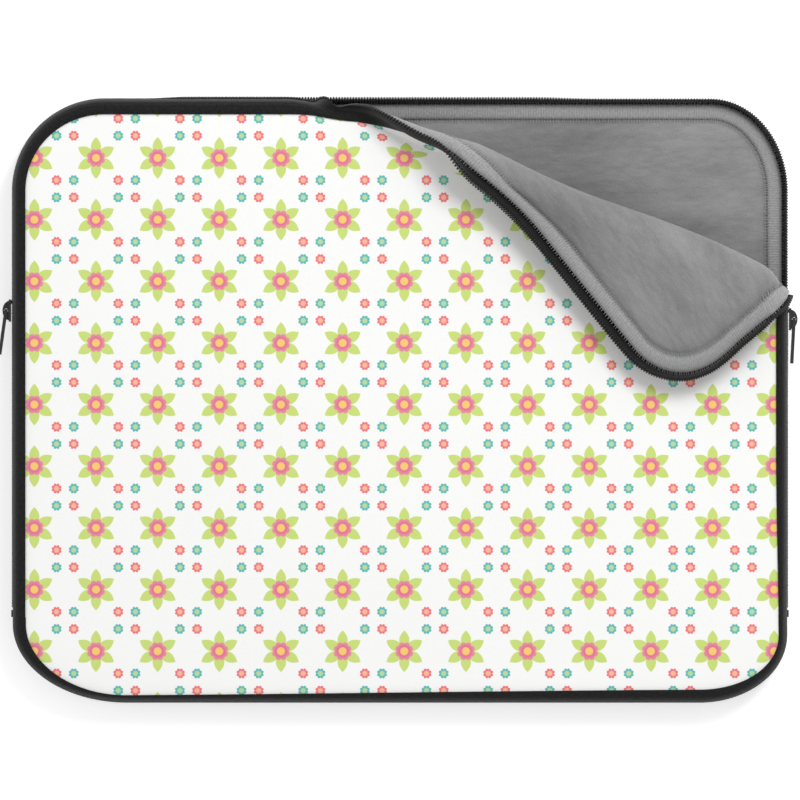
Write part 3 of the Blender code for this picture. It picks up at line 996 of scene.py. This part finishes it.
def make_half(half):
    """Every soft layer of one half."""
    cover = make_layer("print", half, print_inset(half), print_depth, PRINT_RINGS, 0.0004, True, PRINT)
    stand_for(cover, half, "outer_fabric")
    lining = make_layer("plush", half, even_inset(0.0030), plush_depth, PLUSH_RINGS, 0.0011, False, PLUSH)
    stand_for(lining, half, "lining")
    core = make_layer("foam_core", half, even_inset(0.0120), foam_depth, PRINT_RINGS, 0.0, True, FOAM)
    stand_for(core, half, "foam")
    for piece in core.values():
        thick = piece.modifiers.new("thick", "SOLIDIFY")
        thick.thickness = FOAM_THICKNESS
        thick.offset = -1.0
    stand_for(make_edge("ribbon", BINDING, half, RIBBON), half, "binding")
    tape = make_edge("tape", TAPE_OUTER + TAPE_INNER, half, TAPE, above_gusset)
    stand_for(tape, half, "zip_tape")
    closed, rest = coil_line(half)
    coil = make_threads("coil", [closed], 0.00030, half, COIL, [rest])
    stand_for(coil, half, "zip_coil")
    seam = stitch_lines(half, 0.0082, 0.0108, 0.0058, STITCH_PITCH)
    make_threads("seam_stitches", seam, 0.00013, half, THREAD)
    hem = stitch_lines(half, 0.0018, 0.0036, 0.0055, STITCH_PITCH)
    make_threads("hem_stitches", hem, 0.00011, half, THREAD)


def make_gusset():
    """The black wall that joins the halves round the bottom."""
    upper = [(inset, THICKNESS - depth) for inset, depth in reversed(TAPE_OUTER)]
    inside = [(inset + GUSSET_WALL, THICKNESS - depth) for inset, depth in TAPE_INNER]
    lower = [(inset + GUSSET_WALL, depth) for inset, depth in TAPE_INNER]
    section = list(TAPE_OUTER) + upper + list(reversed(inside)) + lower
    points, faces, cloth, _ = loft(section, "back", below_zip, tape=True)
    piece = back_piece("gusset", points, faces, cloth, TAPE)["front"]
    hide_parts("bottom_gusset")


def finish_metal():
    """Round the metal parts' edges and enamel them."""
    for name in METAL_PARTS:
        part = frame["nodes"][name]
        for slot in part.material_slots:
            slot.material = METAL
        bevel = part.modifiers.new("worn", "BEVEL")
        bevel.width = 0.00022
        bevel.segments = 3
        bevel.limit_method = "ANGLE"
        bevel.harden_normals = False


# ---------------------------------------------------------------- studio

def make_studio():
    """A white table, soft light from above, and a long lens straight above."""
    bpy.ops.mesh.primitive_plane_add(size=6.0, location=(0, 0, -0.0008))
    floor = bpy.context.object
    floor.name = "floor"
    floor.data.materials.append(FLOOR)
    lit = FLOOR.node_tree.nodes["Principled BSDF"]
    lit.inputs["Emission Color"].default_value = (1.0, 1.0, 1.0, 1.0)
    lit.inputs["Emission Strength"].default_value = FLOOR_GLOW
    world = bpy.data.worlds.new("studio")
    world.use_nodes = True
    world.node_tree.nodes["Background"].inputs[0].default_value = (1.0, 1.0, 1.0, 1.0)
    world.node_tree.nodes["Background"].inputs[1].default_value = SKY
    bpy.context.scene.world = world
    for name, place, size, power in LAMPS:
        data = bpy.data.lights.new(name, "AREA")
        data.size = size
        data.energy = power
        lamp = bpy.data.objects.new(name, data)
        lamp.location = place
        lamp.rotation_euler = (LAMP_TARGET - Vector(place)).to_track_quat("-Z", "Y").to_euler()
        bpy.context.scene.collection.objects.link(lamp)
    camera_data = bpy.data.cameras.new("camera")
    camera_data.lens = LENS
    camera_data.sensor_width = SENSOR
    camera_data.clip_end = 50.0
    camera = bpy.data.objects.new("camera", camera_data)
    camera.location = (0.0, 0.0004, VIEW_WIDTH * LENS / SENSOR + THICKNESS * 2 / 3)
    bpy.context.scene.collection.objects.link(camera)
    bpy.context.scene.camera = camera
    bpy.context.scene.view_settings.view_transform = "Standard"


make_studio()
make_half("back")
make_half("front")
make_gusset()
finish_metal()

bpy.context.view_layer.update()
